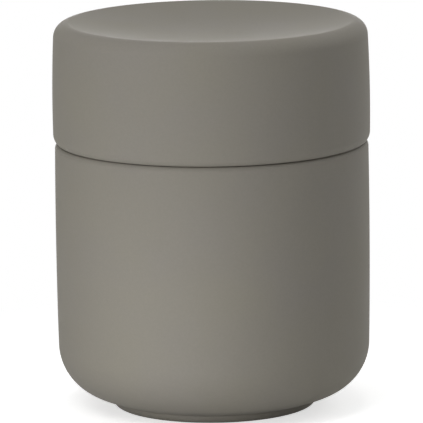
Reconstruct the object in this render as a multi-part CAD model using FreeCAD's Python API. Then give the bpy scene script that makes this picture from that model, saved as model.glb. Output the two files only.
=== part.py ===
import FreeCAD, Part
import math
import os

# Cotton pad holder: a round stoneware jar with a deep, loose lid.
# The jar stands on a turned foot ring, its belly swells out of it and its wall is nearly upright.
# The lid's dished top drops inside a rounded crest, and its spigot fills the jar's mouth.
# A silicone ring lies in the spigot's groove and its two lips brush the mouth.
# Lengths are millimetres and turns are degrees. Height runs up the axis from the table.

# Jar, outside
jar_height = 69.7
jar_widest_radius = 40.95
jar_widest_height = 47.5
jar_wall_thickness = 3.95
jar_side_curve_radius = 1630.0
belly_start_height = 16.65
belly_radius = 13.8
belly_turn = 68.0
underside_curve_radius = 34.5

# Jar, foot ring
foot_set_in = 14.4
foot_ring_width = 3.6
foot_fillet_radius = 0.65
foot_outer_edge_radius = 1.54
foot_inner_edge_radius = 0.8
recess_depth = 1.4
recess_fillet_radius = 0.5

# Jar, mouth
rim_outer_edge_radius = 1.4
rim_inner_edge_radius = 1.2

# Lid, outside
overall_height = 101.2
lid_overhang = 0.35
lid_widest_rise = 9.3
lid_side_curve_radius = 380.0
shoulder_radius = 3.85
crest_inner_radius = 1.6
dish_depth = 3.0
lid_edge_soft_radius = 3.2
lid_edge_tight_radius = 0.6
lid_edge_turn = 45.0

# Lid, hollow
lid_wall_thickness = 3.9
lid_top_thickness = 4.0
lid_ledge_thickness = 4.0
hollow_upper_corner_radius = 4.0
hollow_lower_corner_radius = 2.0
ledge_edge_radius = 1.4

# Lid, spigot and its groove
spigot_clearance = 0.8
spigot_length = 10.0
spigot_wall_thickness = 3.2
spigot_root_fillet_radius = 0.8
spigot_outer_edge_radius = 1.2
spigot_inner_edge_radius = 1.0
groove_rise = 3.0
groove_height = 3.6
groove_depth = 1.2
groove_edge_radius = 0.3

# Seal ring
ring_clearance = 0.05
lip_clearance = 0.05
lip_thickness = 0.8
lip_inset = 1.0
ring_body_setback = 0.2
ring_edge_radius = 0.25

# Sizes that follow from these and that several pieces share
mouth_radius = jar_widest_radius - jar_wall_thickness
lid_widest_radius = jar_widest_radius + lid_overhang
spigot_radius = mouth_radius - spigot_clearance
spigot_end_height = jar_height - spigot_length
groove_floor_radius = spigot_radius - groove_depth
groove_lower_height = spigot_end_height + groove_rise
groove_upper_height = groove_lower_height + groove_height

# Directions in the half plane that every outline is drawn in
outward = 0
upward = 90
inward = 180
downward = -90
full_turn = 360

# Points nearer to each other than this are one point
same_place = 1e-7


def point(radius, height):
    """A point of the half plane, from its distance to the axis and its height."""
    return FreeCAD.Vector(radius, 0, height)


def along(start, distance, direction):
    """The point that lies a distance from another in a direction of the half plane."""
    turn = math.radians(direction)
    return start + point(distance * math.cos(turn), distance * math.sin(turn))


def bearing(start, end):
    """The direction in which one point sees another."""
    step = end - start
    return math.degrees(math.atan2(step.z, step.x))


def arc(centre, radius, first, last):
    """A piece of a circle, from one direction to another, as its start, middle and end."""
    middle = (first + last) / 2
    return [along(centre, radius, turn) for turn in (first, middle, last)]


def inside_touch(centre, radius, small_radius, height):
    """The centre at a height of a small circle that touches a large one from inside."""
    reach = radius - small_radius
    rise = height - centre.z
    return point(centre.x + math.sqrt(reach ** 2 - rise ** 2), height)


def outside_touch(centre, radius, small_radius, distance):
    """The centre, at a distance from the axis, of a circle touching another from below."""
    reach = radius + small_radius
    step = distance - centre.x
    return point(distance, centre.z - math.sqrt(reach ** 2 - step ** 2))


def turned(pieces):
    """The solid turned from an outline of points and arcs, joined by straight lines."""
    edges = []
    last = pieces[-1][-1]
    for piece in pieces:
        if not last.isEqual(piece[0], same_place):
            edges.append(Part.LineSegment(last, piece[0]).toShape())
        if len(piece) > 1:
            edges.append(Part.Arc(*piece).toShape())
        last = piece[-1]
    face = Part.Face(Part.Wire(edges))
    return face.revolve(point(0, 0), FreeCAD.Vector(0, 0, 1), full_turn)


def jar_shape():
    """The jar: wall, belly, floor and foot ring in one piece."""
    side_centre = point(jar_widest_radius - jar_side_curve_radius, jar_widest_height)
    belly_centre = inside_touch(side_centre, jar_side_curve_radius, belly_radius, belly_start_height)
    underside_step = underside_curve_radius - belly_radius
    underside_centre = along(belly_centre, underside_step, inward - belly_turn)
    inner_belly_radius = mouth_radius - belly_centre.x
    inner_underside_radius = inner_belly_radius + underside_step
    floor_height = underside_centre.z - inner_underside_radius

    foot_radius = jar_widest_radius - foot_set_in
    foot_fillet_distance = foot_radius + foot_fillet_radius
    foot_fillet_centre = outside_touch(
        underside_centre, underside_curve_radius, foot_fillet_radius, foot_fillet_distance)
    # The foot's outer edge is rounded from the table up, at most to the fillet over it.
    foot_rounding = min(foot_outer_edge_radius, foot_fillet_centre.z)
    foot_outer_centre = point(foot_radius - foot_rounding, foot_rounding)
    foot_inner_radius = foot_radius - foot_ring_width
    foot_inner_centre = point(foot_inner_radius + foot_inner_edge_radius, foot_inner_edge_radius)
    recess_centre = point(foot_inner_radius - recess_fillet_radius, recess_depth - recess_fillet_radius)

    rim_outer_centre = inside_touch(
        side_centre, jar_side_curve_radius, rim_outer_edge_radius, jar_height - rim_outer_edge_radius)
    rim_inner_centre = point(mouth_radius + rim_inner_edge_radius, jar_height - rim_inner_edge_radius)

    belly_end = bearing(side_centre, belly_centre)
    rim_start = bearing(side_centre, rim_outer_centre)
    return turned([
        [point(0, recess_depth)],
        arc(recess_centre, recess_fillet_radius, upward, outward),
        arc(foot_inner_centre, foot_inner_edge_radius, -inward, downward),
        arc(foot_outer_centre, foot_rounding, downward, outward),
        arc(foot_fillet_centre, foot_fillet_radius, inward, bearing(foot_fillet_centre, underside_centre)),
        arc(underside_centre, underside_curve_radius,
            bearing(underside_centre, foot_fillet_centre), -belly_turn),
        arc(belly_centre, belly_radius, -belly_turn, belly_end),
        arc(side_centre, jar_side_curve_radius, belly_end, rim_start),
        arc(rim_outer_centre, rim_outer_edge_radius, rim_start, upward),
        arc(rim_inner_centre, rim_inner_edge_radius, upward, inward),
        arc(belly_centre, inner_belly_radius, outward, -belly_turn),
        arc(underside_centre, inner_underside_radius, -belly_turn, downward),
        [point(0, floor_height)],
    ])


def lid_shape():
    """The lid: dished top, bowed side, hollow inside, and the spigot with its groove."""
    side_centre = point(lid_widest_radius - lid_side_curve_radius, jar_height + lid_widest_rise)
    shoulder_centre = inside_touch(
        side_centre, lid_side_curve_radius, shoulder_radius, overall_height - shoulder_radius)
    crest_centre = point(shoulder_centre.x, overall_height - crest_inner_radius)

    # The dish is a ball's hollow that just touches the inner rounding of the crest.
    dish_reach = (crest_centre.x ** 2 + dish_depth ** 2) / (2 * dish_depth)
    dish_radius = dish_reach - crest_inner_radius
    dish_centre = point(0, overall_height - dish_depth + dish_radius)
    ceiling_radius = dish_radius + lid_top_thickness

    # The lower edge is softly rounded first and then tightly, down to the flat seat.
    edge_turn = math.radians(lid_edge_turn)
    edge_step = lid_edge_soft_radius - lid_edge_tight_radius
    soft_height = jar_height + lid_edge_tight_radius + edge_step * math.sin(edge_turn)
    soft_centre = inside_touch(side_centre, lid_side_curve_radius, lid_edge_soft_radius, soft_height)
    tight_centre = along(soft_centre, edge_step, -lid_edge_turn)

    root_centre = point(
        spigot_radius + spigot_root_fillet_radius, jar_height - spigot_root_fillet_radius)
    groove_edge_distance = spigot_radius - groove_edge_radius
    groove_upper_centre = point(groove_edge_distance, groove_upper_height + groove_edge_radius)
    groove_lower_centre = point(groove_edge_distance, groove_lower_height - groove_edge_radius)

    spigot_hole_radius = spigot_radius - spigot_wall_thickness
    end_outer_centre = point(
        spigot_radius - spigot_outer_edge_radius, spigot_end_height + spigot_outer_edge_radius)
    end_inner_centre = point(
        spigot_hole_radius + spigot_inner_edge_radius, spigot_end_height + spigot_inner_edge_radius)

    ledge_height = jar_height + lid_ledge_thickness
    hollow_radius = lid_widest_radius - lid_wall_thickness
    ledge_centre = point(spigot_hole_radius + ledge_edge_radius, ledge_height - ledge_edge_radius)
    lower_corner_centre = point(
        hollow_radius - hollow_lower_corner_radius, ledge_height + hollow_lower_corner_radius)
    upper_corner_centre = outside_touch(
        dish_centre, ceiling_radius, hollow_upper_corner_radius, hollow_radius - hollow_upper_corner_radius)

    side_start = bearing(side_centre, shoulder_centre)
    side_end = bearing(side_centre, soft_centre)
    return turned([
        arc(dish_centre, dish_radius, downward, bearing(dish_centre, crest_centre)),
        arc(crest_centre, crest_inner_radius, bearing(crest_centre, dish_centre), upward),
        arc(shoulder_centre, shoulder_radius, upward, side_start),
        arc(side_centre, lid_side_curve_radius, side_start, side_end),
        arc(soft_centre, lid_edge_soft_radius, side_end, -lid_edge_turn),
        arc(tight_centre, lid_edge_tight_radius, -lid_edge_turn, downward),
        arc(root_centre, spigot_root_fillet_radius, upward, inward),
        arc(groove_upper_centre, groove_edge_radius, outward, downward),
        [point(groove_floor_radius, groove_upper_height)],
        [point(groove_floor_radius, groove_lower_height)],
        arc(groove_lower_centre, groove_edge_radius, upward, outward),
        arc(end_outer_centre, spigot_outer_edge_radius, outward, downward),
        arc(end_inner_centre, spigot_inner_edge_radius, downward, -inward),
        arc(ledge_centre, ledge_edge_radius, inward, upward),
        arc(lower_corner_centre, hollow_lower_corner_radius, downward, outward),
        arc(upper_corner_centre, hollow_upper_corner_radius,
            outward, bearing(upper_corner_centre, dish_centre)),
        arc(dish_centre, ceiling_radius, bearing(dish_centre, upper_corner_centre), downward),
    ])


def seal_ring_shape():
    """The silicone ring: a flat band in the groove with two rounded lips towards the mouth."""
    inner_radius = groove_floor_radius + ring_clearance
    body_radius = spigot_radius - ring_body_setback
    lower_height = groove_lower_height + ring_clearance
    upper_height = groove_upper_height - ring_clearance
    lip_radius = lip_thickness / 2
    lip_distance = mouth_radius - lip_clearance - lip_radius

    inner_corner = inner_radius + ring_edge_radius
    outer_corner = body_radius - ring_edge_radius
    lower_corner = lower_height + ring_edge_radius
    upper_corner = upper_height - ring_edge_radius
    outline = [
        arc(point(inner_corner, lower_corner), ring_edge_radius, -inward, downward),
        arc(point(outer_corner, lower_corner), ring_edge_radius, downward, outward),
    ]
    for lip_height in (lower_height + lip_inset, upper_height - lip_inset):
        outline.append([point(body_radius, lip_height - lip_radius)])
        outline.append(arc(point(lip_distance, lip_height), lip_radius, downward, upward))
        outline.append([point(body_radius, lip_height + lip_radius)])
    outline.append(arc(point(outer_corner, upper_corner), ring_edge_radius, outward, upward))
    outline.append(arc(point(inner_corner, upper_corner), ring_edge_radius, upward, inward))
    return turned(outline)


os.makedirs("parts", exist_ok=True)
jar_shape().exportStep("parts/jar.step")
lid_shape().exportStep("parts/lid.step")
seal_ring_shape().exportStep("parts/seal_ring.step")
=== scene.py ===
import bpy
import numpy as np
from mathutils import Matrix


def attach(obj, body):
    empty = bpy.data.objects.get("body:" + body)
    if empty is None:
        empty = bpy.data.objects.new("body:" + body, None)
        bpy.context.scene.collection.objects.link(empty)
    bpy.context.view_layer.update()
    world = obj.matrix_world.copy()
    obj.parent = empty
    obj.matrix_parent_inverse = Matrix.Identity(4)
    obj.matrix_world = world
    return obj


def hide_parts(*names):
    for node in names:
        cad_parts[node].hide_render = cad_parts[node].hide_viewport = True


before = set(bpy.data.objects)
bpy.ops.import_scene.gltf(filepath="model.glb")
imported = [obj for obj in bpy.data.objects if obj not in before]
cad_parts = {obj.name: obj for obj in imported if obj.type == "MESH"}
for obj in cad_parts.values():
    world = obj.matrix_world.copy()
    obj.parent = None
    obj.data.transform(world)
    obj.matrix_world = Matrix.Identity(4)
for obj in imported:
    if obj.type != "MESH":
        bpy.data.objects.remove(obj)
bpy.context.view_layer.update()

# The jar is slip-cast stoneware with a wall of about 4 mm on a turned foot ring. It is glazed inside,
# sprayed outside with a soft-touch lacquer over the rim, and bare under the foot ring, where it stood in
# the kiln. The lid's seat touches the rim's high spots, so a dark hairline shows between the two.
jar_height = 69.7
jar_widest_radius, jar_widest_height, jar_side_curve = 40.95, 47.5, 1630.0
belly_start_height, belly_radius, belly_turn = 16.65, 13.8, 68.0
underside_curve = 34.5
foot_radius, foot_ring_width, foot_fillet = 26.55, 3.6, 0.65
foot_outer_edge, foot_inner_edge = 1.54, 0.8
recess_depth, recess_fillet = 1.4, 0.5
mouth_radius, rim_outer_edge, rim_inner_edge = 37.0, 1.4, 1.2
seam_gap = 0.1
outward, upward, inward, downward = 0.0, 90.0, 180.0, -90.0
coat_end_turn = 135.0


def along(start, distance, direction):
    """The point a distance away: the start plus the distance times the turn's cosine and sine."""
    turn = np.radians(direction)
    return np.array(start) + distance * np.array([np.cos(turn), np.sin(turn)])


def bearing(start, end):
    """The turn, in degrees, whose tangent is the step up over the step outward."""
    return np.degrees(np.arctan2(end[1] - start[1], end[0] - start[0]))


def inside_touch(centre, radius, small, height):
    """The centre, at a height, of a small circle that touches a large one from inside: it lies outward by
    the root of the square of the radii's difference less the square of the rise."""
    return np.array([centre[0] + np.sqrt((radius - small) ** 2 - (height - centre[1]) ** 2), height])


def outside_touch(centre, radius, small, distance):
    """The centre, at a distance from the axis, of a small circle that touches a large one from below: it
    lies down by the root of the square of the radii's sum less the square of the step outward."""
    return np.array([distance, centre[1] - np.sqrt((radius + small) ** 2 - (distance - centre[0]) ** 2)])


def arc(centre, radius, first, last, count):
    """Points of a circle: the centre plus the radius times the cosine and sine of evenly growing turns."""
    turn = np.radians(np.linspace(first, last, count))
    return np.stack([centre[0] + radius * np.cos(turn), centre[1] + radius * np.sin(turn)], 1)


def straight(start, end, count):
    """Points of a line: the start plus growing shares of the step to the end."""
    share = np.linspace(0, 1, count)[:, None]
    return np.array(start) * (1 - share) + np.array(end) * share


def turned(name, stretches, closed=False, steps=256, millimetre=0.001, touching=1e-6, sharp=40.0):
    """A surface of revolution. Each outline point at radius r and height z goes to r cos t, r sin t, z for
    evenly spaced turns t. The outline runs outward below and inward above, so the faces look out. Each
    stretch of it is its points and the number of its finish, and a band of faces has the finish of the
    point that it ends at. An outline that isn't closed starts and ends on the axis, where a fan of
    triangles closes the surface."""
    outline = np.concatenate([line for line, number in stretches])
    finish = np.concatenate([np.full(len(line), number) for line, number in stretches])
    keep = np.hypot(*(outline - np.roll(outline, 1, 0)).T) > touching
    outline, finish = outline[keep] * millimetre, finish[keep]
    rings = outline if closed else outline[1:-1]
    turn = np.linspace(0, 2 * np.pi, steps, endpoint=False)
    r, z = rings[:, :1], rings[:, 1:]
    points = np.stack([r * np.cos(turn), r * np.sin(turn), z + 0 * turn], 2).reshape(-1, 3)
    row = np.arange(len(rings))[:, None] * steps
    here, there = (row, np.roll(row, -1, 0)) if closed else (row[:-1], row[1:])
    column = np.arange(steps)
    beside = np.roll(column, -1)
    corners = [here + column, here + beside, there + beside, there + column]
    faces = np.stack(corners, 2).reshape(-1, 4).tolist()
    numbers = np.repeat(np.roll(finish, -1) if closed else finish[2:-1], steps)
    if not closed:
        first, last = len(points), len(points) + 1
        points = np.concatenate([points, [[0, 0, outline[0, 1]], [0, 0, outline[-1, 1]]]])
        faces += np.stack([np.full(steps, first), beside, column], 1).tolist()
        faces += np.stack([np.full(steps, last), row[-1] + column, row[-1] + beside], 1).tolist()
        numbers = np.concatenate([numbers, np.full(steps, finish[1]), np.full(steps, finish[-1])])
    mesh = bpy.data.meshes.new(name)
    mesh.from_pydata(points.tolist(), [], faces)
    mesh.polygons.foreach_set("material_index", numbers.astype(np.int32))
    mesh.polygons.foreach_set("use_smooth", np.ones(len(faces), bool))
    mesh.set_sharp_from_angle(angle=np.radians(sharp))
    mesh.update()
    piece = bpy.data.objects.new(name, mesh)
    bpy.context.scene.collection.objects.link(piece)
    return piece


def colour(code):
    """A hex colour as linear light: low values over 12.92, others raised to 2.4 as the sRGB rule says."""
    value = np.array([int(code[i:i + 2], 16) / 255 for i in (1, 3, 5)])
    light = np.where(value <= 0.04045, value / 12.92, ((value + 0.055) / 1.055) ** 2.4)
    return (*light.tolist(), 1.0)


def put(tree, kind, settings=None, inputs=None):
    """Adds a node, sets its properties, and gives each input, called by its name or its place, a number, a
    colour or another node's output."""
    node = tree.nodes.new(kind)
    for name, value in (settings or {}).items():
        setattr(node, name, value)
    for name, value in (inputs or {}).items():
        if isinstance(value, bpy.types.NodeSocket):
            tree.links.new(value, node.inputs[name])
        else:
            node.inputs[name].default_value = value
    return node


def new_finish(name):
    """A new material of that name, with its nodes, its shader and the piece's own coordinates."""
    made = bpy.data.materials.new(name)
    made.use_nodes = True
    tree = made.node_tree
    return made, tree, tree.nodes["Principled BSDF"], put(tree, "ShaderNodeTexCoord").outputs["Object"]


# A Mix node has several inputs of one name, so these are the places of those for its share and its two
# colours, and the place of its mixed colour among its outputs.
mix_share, mix_first, mix_second, mix_result = 0, 6, 7, 2


def soft_touch_lacquer():
    """Soft-touch polyurethane lacquer, sprayed on and cured matte. It gives the eye an even, velvety taupe
    that takes light without a glint, with the faintest clouds from the spray. The spray's grain is finer
    than a tenth of a millimetre and is drawn at 0.6 mm, very faint, so that it shows close up."""
    made, tree, shader, place = new_finish("soft_touch_lacquer")
    cloud_size, grain_size = 0.022, 0.0006
    clouds = put(tree, "ShaderNodeTexNoise", {}, {"Vector": place, "Scale": 1 / cloud_size, "Detail": 3.0})
    grain = put(tree, "ShaderNodeTexNoise", {}, {"Vector": place, "Scale": 1 / grain_size, "Detail": 2.0})
    mixed = put(tree, "ShaderNodeMix", {"data_type": "RGBA"}, {
        mix_share: clouds.outputs["Fac"], mix_first: colour("#85817b"), mix_second: colour("#898579")})
    dust = put(tree, "ShaderNodeMapRange", {}, {
        "Value": grain.outputs["Fac"], "From Min": 0.35, "From Max": 0.65,
        "To Min": 0.985, "To Max": 1.015})
    toned = put(tree, "ShaderNodeVectorMath", {"operation": "SCALE"}, {
        0: mixed.outputs[mix_result], "Scale": dust.outputs["Result"]})
    rough = put(tree, "ShaderNodeMapRange", {}, {
        "Value": clouds.outputs["Fac"], "From Min": 0.3, "From Max": 0.7, "To Min": 0.67, "To Max": 0.73})
    bump = put(tree, "ShaderNodeBump", {}, {
        "Height": grain.outputs["Fac"], "Strength": 0.2, "Distance": 0.00004})
    tree.links.new(toned.outputs[0], shader.inputs["Base Color"])
    tree.links.new(rough.outputs["Result"], shader.inputs["Roughness"])
    tree.links.new(bump.outputs["Normal"], shader.inputs["Normal"])
    shader.inputs["IOR"].default_value = 1.5
    shader.inputs["Specular IOR Level"].default_value = 0.25
    return made


def satin_glaze():
    """Feldspar glaze, poured in and drained before firing. It gives the eye a satin taupe with soft
    highlights, slightly uneven where the glaze ran thicker and thinner."""
    made, tree, shader, place = new_finish("satin_glaze")
    run_size = 0.014
    runs = put(tree, "ShaderNodeTexNoise", {}, {"Vector": place, "Scale": 1 / run_size, "Detail": 2.0})
    mixed = put(tree, "ShaderNodeMix", {"data_type": "RGBA"}, {
        mix_share: runs.outputs["Fac"], mix_first: colour("#7f7a6e"), mix_second: colour("#8f8a7d")})
    rough = put(tree, "ShaderNodeMapRange", {}, {
        "Value": runs.outputs["Fac"], "From Min": 0.3, "From Max": 0.7, "To Min": 0.2, "To Max": 0.3})
    bump = put(tree, "ShaderNodeBump", {}, {
        "Height": runs.outputs["Fac"], "Strength": 0.3, "Distance": 0.0004})
    tree.links.new(mixed.outputs[mix_result], shader.inputs["Base Color"])
    tree.links.new(rough.outputs["Result"], shader.inputs["Roughness"])
    tree.links.new(bump.outputs["Normal"], shader.inputs["Normal"])
    shader.inputs["IOR"].default_value = 1.52
    return made


def bare_stoneware():
    """Fired stoneware body, wiped clean of glaze. It gives the eye a dry, chalky greige with the fine dark
    and light grains of the clay."""
    made, tree, shader, place = new_finish("bare_stoneware")
    clay_grain = 0.0009
    clay = put(tree, "ShaderNodeTexNoise", {}, {"Vector": place, "Scale": 1 / clay_grain, "Detail": 4.0})
    ramp = put(tree, "ShaderNodeMapRange", {}, {
        "Value": clay.outputs["Fac"], "From Min": 0.35, "From Max": 0.65})
    mixed = put(tree, "ShaderNodeMix", {"data_type": "RGBA"}, {
        mix_share: ramp.outputs["Result"], mix_first: colour("#8c8474"), mix_second: colour("#a39a88")})
    bump = put(tree, "ShaderNodeBump", {}, {
        "Height": clay.outputs["Fac"], "Strength": 0.5, "Distance": 0.0001})
    tree.links.new(mixed.outputs[mix_result], shader.inputs["Base Color"])
    tree.links.new(bump.outputs["Normal"], shader.inputs["Normal"])
    shader.inputs["Roughness"].default_value = 0.85
    shader.inputs["IOR"].default_value = 1.5
    return made


side_centre = np.array([jar_widest_radius - jar_side_curve, jar_widest_height])
belly_centre = inside_touch(side_centre, jar_side_curve, belly_radius, belly_start_height)
underside_centre = along(belly_centre, underside_curve - belly_radius, inward - belly_turn)
inner_belly = mouth_radius - belly_centre[0]
inner_underside = inner_belly + underside_curve - belly_radius
floor_height = underside_centre[1] - inner_underside
foot_inner_radius = foot_radius - foot_ring_width
fillet_centre = outside_touch(underside_centre, underside_curve, foot_fillet, foot_radius + foot_fillet)
foot_outer_centre = np.array([foot_radius - foot_outer_edge, foot_outer_edge])
foot_inner_centre = np.array([foot_inner_radius + foot_inner_edge, foot_inner_edge])
recess_centre = np.array([foot_inner_radius - recess_fillet, recess_depth - recess_fillet])
rim_height = jar_height - seam_gap
rim_outer_centre = inside_touch(side_centre, jar_side_curve, rim_outer_edge, rim_height - rim_outer_edge)
rim_inner_centre = np.array([mouth_radius + rim_inner_edge, rim_height - rim_inner_edge])
fillet_end = bearing(fillet_centre, underside_centre)
underside_start = bearing(underside_centre, fillet_centre)
jar_side_start = bearing(side_centre, belly_centre)
jar_side_end = bearing(side_centre, rim_outer_centre)
jar_foot = np.concatenate([
    straight((0, recess_depth), recess_centre + (0, recess_fillet), count=12),
    arc(recess_centre, recess_fillet, upward, outward, count=8),
    arc(foot_inner_centre, foot_inner_edge, -inward, downward, count=10)])
jar_stand = straight(
    foot_inner_centre - (0, foot_inner_edge), foot_outer_centre - (0, foot_outer_edge), count=4)
jar_outside = np.concatenate([
    arc(foot_outer_centre, foot_outer_edge, downward, outward, count=14),
    arc(fillet_centre, foot_fillet, inward, fillet_end, count=10),
    arc(underside_centre, underside_curve, underside_start, -belly_turn, count=8),
    arc(belly_centre, belly_radius, -belly_turn, jar_side_start, count=36),
    arc(side_centre, jar_side_curve, jar_side_start, jar_side_end, count=40),
    arc(rim_outer_centre, rim_outer_edge, jar_side_end, upward, count=14),
    arc(rim_inner_centre, rim_inner_edge, upward, coat_end_turn, count=8)])
jar_inside = np.concatenate([
    arc(rim_inner_centre, rim_inner_edge, coat_end_turn, inward, count=8),
    straight((mouth_radius, rim_height - rim_inner_edge), (mouth_radius, belly_start_height), count=24),
    arc(belly_centre, inner_belly, outward, -belly_turn, count=24),
    arc(underside_centre, inner_underside, -belly_turn, downward, count=16),
    straight((underside_centre[0], floor_height), (0, floor_height), count=10)])
lacquered, glazed, unglazed = 0, 1, 2
stoneware_finishes = soft_touch_lacquer(), satin_glaze(), bare_stoneware()
jar_piece = turned("jar_body", [
    (jar_foot, lacquered), (jar_stand, unglazed), (jar_outside, lacquered), (jar_inside, glazed)])
for made in stoneware_finishes:
    jar_piece.data.materials.append(made)
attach(jar_piece, "jar")
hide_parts("jar")

# The seal ring is moulded silicone with two rounded lips.
# It is stretched over the lid's spigot and snaps into the groove there.
spigot_gap, spigot_length = 0.8, 10.0
groove_rise, groove_width, groove_depth, groove_edge = 3.0, 3.6, 1.2, 0.3
ring_gap, ring_setback, ring_edge = 0.05, 0.2, 0.25
lip_gap, lip_thickness, lip_inset = 0.05, 0.8, 1.0
spigot_radius = mouth_radius - spigot_gap
groove_floor = spigot_radius - groove_depth
groove_low = jar_height - spigot_length + groove_rise
groove_high = groove_low + groove_width


def moulded_silicone():
    """Silicone rubber, moulded against a fine blasted tool. It gives the eye a milky, satin grey that lets
    a little light in at its lips."""
    made, tree, shader, place = new_finish("moulded_silicone")
    blast_size = 0.0005
    blast = put(tree, "ShaderNodeTexNoise", {}, {"Vector": place, "Scale": 1 / blast_size, "Detail": 2.0})
    mixed = put(tree, "ShaderNodeMix", {"data_type": "RGBA"}, {
        mix_share: blast.outputs["Fac"], mix_first: colour("#b1aea6"), mix_second: colour("#bdbab2")})
    rough = put(tree, "ShaderNodeMapRange", {}, {
        "Value": blast.outputs["Fac"], "From Min": 0.3, "From Max": 0.7, "To Min": 0.34, "To Max": 0.44})
    tree.links.new(mixed.outputs[mix_result], shader.inputs["Base Color"])
    tree.links.new(rough.outputs["Result"], shader.inputs["Roughness"])
    shader.inputs["IOR"].default_value = 1.41
    shader.inputs["Subsurface Weight"].default_value = 0.25
    shader.inputs["Subsurface Scale"].default_value = 0.0015
    return made


ring_inner, ring_outer = groove_floor + ring_gap, spigot_radius - ring_setback
ring_low, ring_high = groove_low + ring_gap, groove_high - ring_gap
lip = lip_thickness / 2
lip_reach = mouth_radius - lip_gap - lip
low_lip, high_lip = ring_low + lip_inset, ring_high - lip_inset
ring_outline = np.concatenate([
    arc((ring_inner + ring_edge, ring_low + ring_edge), ring_edge, -inward, downward, count=6),
    arc((ring_outer - ring_edge, ring_low + ring_edge), ring_edge, downward, outward, count=6),
    straight((ring_outer, low_lip - lip), (lip_reach, low_lip - lip), count=3),
    arc((lip_reach, low_lip), lip, downward, upward, count=12),
    straight((lip_reach, low_lip + lip), (ring_outer, low_lip + lip), count=3),
    straight((ring_outer, high_lip - lip), (lip_reach, high_lip - lip), count=3),
    arc((lip_reach, high_lip), lip, downward, upward, count=12),
    straight((lip_reach, high_lip + lip), (ring_outer, high_lip + lip), count=3),
    arc((ring_outer - ring_edge, ring_high - ring_edge), ring_edge, outward, upward, count=6),
    arc((ring_inner + ring_edge, ring_high - ring_edge), ring_edge, upward, inward, count=6),
    straight((ring_inner, ring_high - ring_edge), (ring_inner, ring_low + ring_edge), count=4)])
ring_piece = turned("seal_band", [(ring_outline, 0)], closed=True)
ring_piece.data.materials.append(moulded_silicone())
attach(ring_piece, "seal")
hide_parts("seal_ring")

# The lid is cast in the same stoneware, hollow, with a dished top inside a rounded crest.
# Its seat lies loose on the jar's rim and its spigot, left bare, holds the seal ring.
# It is sprayed with the jar's lacquer outside and glazed in its hollow.
overall_height = 101.2
lid_widest_radius, lid_widest_rise, lid_side_curve = 41.3, 9.3, 380.0
shoulder, crest_edge, dish_depth = 3.85, 1.6, 3.0
soft_edge, tight_edge, edge_turn = 3.2, 0.6, 45.0
lid_wall, lid_top, lid_ledge = 3.9, 4.0, 4.0
upper_corner, lower_corner, ledge_edge = 4.0, 2.0, 1.4
spigot_wall, root_fillet, end_outer_edge, end_inner_edge = 3.2, 0.8, 1.2, 1.0
glaze_end_turn = -135.0

lid_centre = np.array([lid_widest_radius - lid_side_curve, jar_height + lid_widest_rise])
shoulder_centre = inside_touch(lid_centre, lid_side_curve, shoulder, overall_height - shoulder)
crest_centre = np.array([shoulder_centre[0], overall_height - crest_edge])
dish_radius = (crest_centre[0] ** 2 + dish_depth ** 2) / (2 * dish_depth) - crest_edge
dish_centre = np.array([0, overall_height - dish_depth + dish_radius])
edge_step = soft_edge - tight_edge
soft_height = jar_height + tight_edge + edge_step * np.sin(np.radians(edge_turn))
soft_centre = inside_touch(lid_centre, lid_side_curve, soft_edge, soft_height)
tight_centre = along(soft_centre, edge_step, -edge_turn)
root_centre = np.array([spigot_radius + root_fillet, jar_height - root_fillet])
hole_radius = spigot_radius - spigot_wall
end_height = jar_height - spigot_length
end_outer_centre = np.array([spigot_radius - end_outer_edge, end_height + end_outer_edge])
end_inner_centre = np.array([hole_radius + end_inner_edge, end_height + end_inner_edge])
hollow_radius = lid_widest_radius - lid_wall
ledge_height = jar_height + lid_ledge
ceiling_radius = dish_radius + lid_top
high_centre = outside_touch(dish_centre, ceiling_radius, upper_corner, hollow_radius - upper_corner)
low_centre = np.array([hollow_radius - lower_corner, ledge_height + lower_corner])
groove_mouth = spigot_radius - groove_edge
ceiling_end = bearing(dish_centre, high_centre)
upper_corner_start = bearing(high_centre, dish_centre)
lid_side_start = bearing(lid_centre, soft_centre)
lid_side_end = bearing(lid_centre, shoulder_centre)
crest_end = bearing(crest_centre, dish_centre)
dish_start = bearing(dish_centre, crest_centre)
lid_hollow = np.concatenate([
    arc(dish_centre, ceiling_radius, downward, ceiling_end, count=20),
    arc(high_centre, upper_corner, upper_corner_start, outward, count=14),
    arc(low_centre, lower_corner, outward, downward, count=10),
    arc((hole_radius + ledge_edge, ledge_height - ledge_edge), ledge_edge, upward, inward, count=10),
    arc(end_inner_centre, end_inner_edge, -inward, glaze_end_turn, count=6)])
lid_spigot = np.concatenate([
    arc(end_inner_centre, end_inner_edge, glaze_end_turn, downward, count=6),
    arc(end_outer_centre, end_outer_edge, downward, outward, count=10),
    arc((groove_mouth, groove_low - groove_edge), groove_edge, outward, upward, count=6),
    straight((groove_mouth, groove_low), (groove_floor, groove_low), count=3),
    straight((groove_floor, groove_low), (groove_floor, groove_high), count=3),
    straight((groove_floor, groove_high), (groove_mouth, groove_high), count=3),
    arc((groove_mouth, groove_high + groove_edge), groove_edge, downward, outward, count=6),
    arc(root_centre, root_fillet, inward, upward, count=8),
    straight((root_centre[0], jar_height), (tight_centre[0], jar_height), count=4)])
lid_outside = np.concatenate([
    arc(tight_centre, tight_edge, downward, -edge_turn, count=8),
    arc(soft_centre, soft_edge, -edge_turn, lid_side_start, count=14),
    arc(lid_centre, lid_side_curve, lid_side_start, lid_side_end, count=32),
    arc(shoulder_centre, shoulder, lid_side_end, upward, count=28),
    arc(crest_centre, crest_edge, upward, crest_end, count=8),
    arc(dish_centre, dish_radius, dish_start, downward, count=24)])
lid_piece = turned("lid_body", [(lid_hollow, glazed), (lid_spigot, unglazed), (lid_outside, lacquered)])
for made in stoneware_finishes:
    lid_piece.data.materials.append(made)
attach(lid_piece, "lid")
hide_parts("lid")

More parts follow.
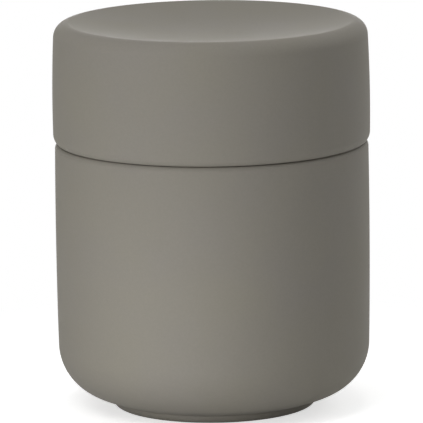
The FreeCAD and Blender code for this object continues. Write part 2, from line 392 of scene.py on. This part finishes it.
# The floor is a flat sheet of matte white card that runs on past the picture's edges. To the jar it is
# plain pale card. The camera, glosses and glass see it lifted: near the jar by a glow, which is stronger
# for the camera and keeps the jar's soft shadow, and away from the jar to an even white.
floor_half, shadow_reach, white_reach = 3.0, 0.05, 0.14
gloss_glow, camera_added_glow, paper_glow = 0.3, 0.32, 1.0
floor_mesh = bpy.data.meshes.new("floor")
floor_mesh.from_pydata([(-floor_half, -floor_half, 0), (floor_half, -floor_half, 0),
                        (floor_half, floor_half, 0), (-floor_half, floor_half, 0)], [], [(0, 1, 2, 3)])
floor = bpy.data.objects.new("floor", floor_mesh)
bpy.context.scene.collection.objects.link(floor)


def seen_by_eye(tree):
    """One for what the camera sees straight, off a gloss or through glass: the three added, at most one."""
    rays = put(tree, "ShaderNodeLightPath").outputs
    first = put(tree, "ShaderNodeMath", {"operation": "ADD"}, {
        0: rays["Is Camera Ray"], 1: rays["Is Glossy Ray"]})
    both = put(tree, "ShaderNodeMath", {"operation": "ADD", "use_clamp": True}, {
        0: first.outputs[0], 1: rays["Is Transmission Ray"]})
    return both.outputs[0]


card = bpy.data.materials.new("white_card")
card.use_nodes = True
tree = card.node_tree
tree.nodes.clear()
white = colour("#ffffff")
matte = put(tree, "ShaderNodeBsdfDiffuse", {}, {"Color": colour("#f0f0f0")})
eye = put(tree, "ShaderNodeLightPath").outputs["Is Camera Ray"]
lift = put(tree, "ShaderNodeMath", {"operation": "MULTIPLY_ADD"}, {
    0: eye, 1: camera_added_glow, 2: gloss_glow})
glow = put(tree, "ShaderNodeEmission", {}, {"Color": white, "Strength": lift.outputs[0]})
shaded = put(tree, "ShaderNodeAddShader", {}, {0: matte.outputs[0], 1: glow.outputs[0]})
paper = put(tree, "ShaderNodeEmission", {}, {"Color": white, "Strength": paper_glow})
place = put(tree, "ShaderNodeTexCoord").outputs["Object"]
distance = put(tree, "ShaderNodeVectorMath", {"operation": "LENGTH"}, {0: place})
away = put(tree, "ShaderNodeMapRange", {"interpolation_type": "SMOOTHSTEP"}, {
    "Value": distance.outputs["Value"], "From Min": shadow_reach, "From Max": white_reach})
lifted = put(tree, "ShaderNodeMixShader", {}, {
    0: away.outputs["Result"], 1: shaded.outputs[0], 2: paper.outputs[0]})
both = put(tree, "ShaderNodeMixShader", {}, {
    0: seen_by_eye(tree), 1: matte.outputs[0], 2: lifted.outputs[0]})
put(tree, "ShaderNodeOutputMaterial", {}, {"Surface": both.outputs[0]})
floor.data.materials.append(card)

# The room round the jar is pale paper. The camera, glosses and glass see it as plain white, and it gives
# the jar a little even light from all sides.
room_light = 0.3
world = bpy.data.worlds.new("pale_room")
bpy.context.scene.world = world
world.use_nodes = True
tree = world.node_tree
tree.nodes.clear()
room = put(tree, "ShaderNodeBackground", {}, {"Color": white, "Strength": room_light})
paper = put(tree, "ShaderNodeBackground", {}, {"Color": white, "Strength": paper_glow})
both = put(tree, "ShaderNodeMixShader", {}, {
    0: seen_by_eye(tree), 1: room.outputs[0], 2: paper.outputs[0]})
put(tree, "ShaderNodeOutputWorld", {}, {"Surface": both.outputs[0]})

# The light is a plain studio of soft boxes that all face a point half way up the jar: a small one
# close by on the upper left, others overhead, on the right and behind, and two low ones close in
# front on the left that brighten the belly.
aim_height = 0.05


def stand(thing, right, up, back, place):
    """Puts a lamp or camera at a place: the columns of its matrix are its right, up and back directions
    and the place, over a last row of zeros and a one."""
    thing.matrix_world = Matrix([*np.stack([right, up, back, place], 1).tolist(), (0, 0, 0, 1)])
    bpy.context.scene.collection.objects.link(thing)


def soft_box(name, azimuth, elevation, distance, width, height, power):
    """A rectangular lamp that faces the jar: its place is the distance times the direction's cosines and
    sines, over the point that all of them face."""
    lamp = bpy.data.lights.new(name, "AREA")
    lamp.shape, lamp.size, lamp.size_y, lamp.energy = "RECTANGLE", width, height, power
    box = bpy.data.objects.new(name, lamp)
    box.visible_camera = False
    turn, rise = np.radians(azimuth), np.radians(elevation)
    direction = np.array([np.sin(turn) * np.cos(rise), -np.cos(turn) * np.cos(rise), np.sin(rise)])
    level = np.array([np.cos(turn), np.sin(turn), 0])
    stand(box, level, np.cross(direction, level), direction, direction * distance + (0, 0, aim_height))


soft_box("key", azimuth=-30, elevation=40, distance=0.3, width=0.15, height=0.15, power=0.246)
soft_box("overhead", azimuth=0, elevation=88, distance=0.9, width=0.3, height=0.3, power=1.231)
soft_box("right", azimuth=120, elevation=30, distance=1.2, width=0.8, height=0.8, power=2.355)
soft_box("behind", azimuth=180, elevation=8, distance=0.5, width=0.3, height=0.1, power=0.483)
soft_box("low_left", azimuth=-40, elevation=-8, distance=0.26, width=0.12, height=0.05, power=0.096)
soft_box("low_strip", azimuth=-25, elevation=-20, distance=0.11, width=0.1, height=0.02, power=0.015)

# The camera stands 1.5 m away and looks down by about 10 degrees, with the photograph's tiny tilt to one
# side. Its lens and shift give the jar the size and place that it has in the photograph's frame.
camera_distance, camera_rise, camera_tilt, camera_aim = 1.5, 10.377, -0.695, 0.0505
focal_pixels, centre_x, centre_y, picture_side = 5748.0, 212.57, 212.9, 423
film_width = 36.0
rise, tilt = np.radians(camera_rise), np.radians(camera_tilt)
back = np.array([0, -np.cos(rise), np.sin(rise)])
level, up = np.array([1.0, 0, 0]), np.array([0, np.sin(rise), np.cos(rise)])
tilted_right = np.cos(tilt) * level + np.sin(tilt) * up
tilted_up = np.cos(tilt) * up - np.sin(tilt) * level
lens = bpy.data.cameras.new("camera")
lens.sensor_width, lens.lens = film_width, focal_pixels / picture_side * film_width
lens.shift_x = (picture_side / 2 - centre_x) / picture_side
lens.shift_y = (centre_y - picture_side / 2) / picture_side
lens.clip_start, lens.clip_end = 0.1, 20.0
camera = bpy.data.objects.new("camera", lens)
stand(camera, tilted_right, tilted_up, back, back * camera_distance + (0, 0, camera_aim))
bpy.context.scene.camera = camera
bpy.context.scene.view_settings.view_transform = "Standard"
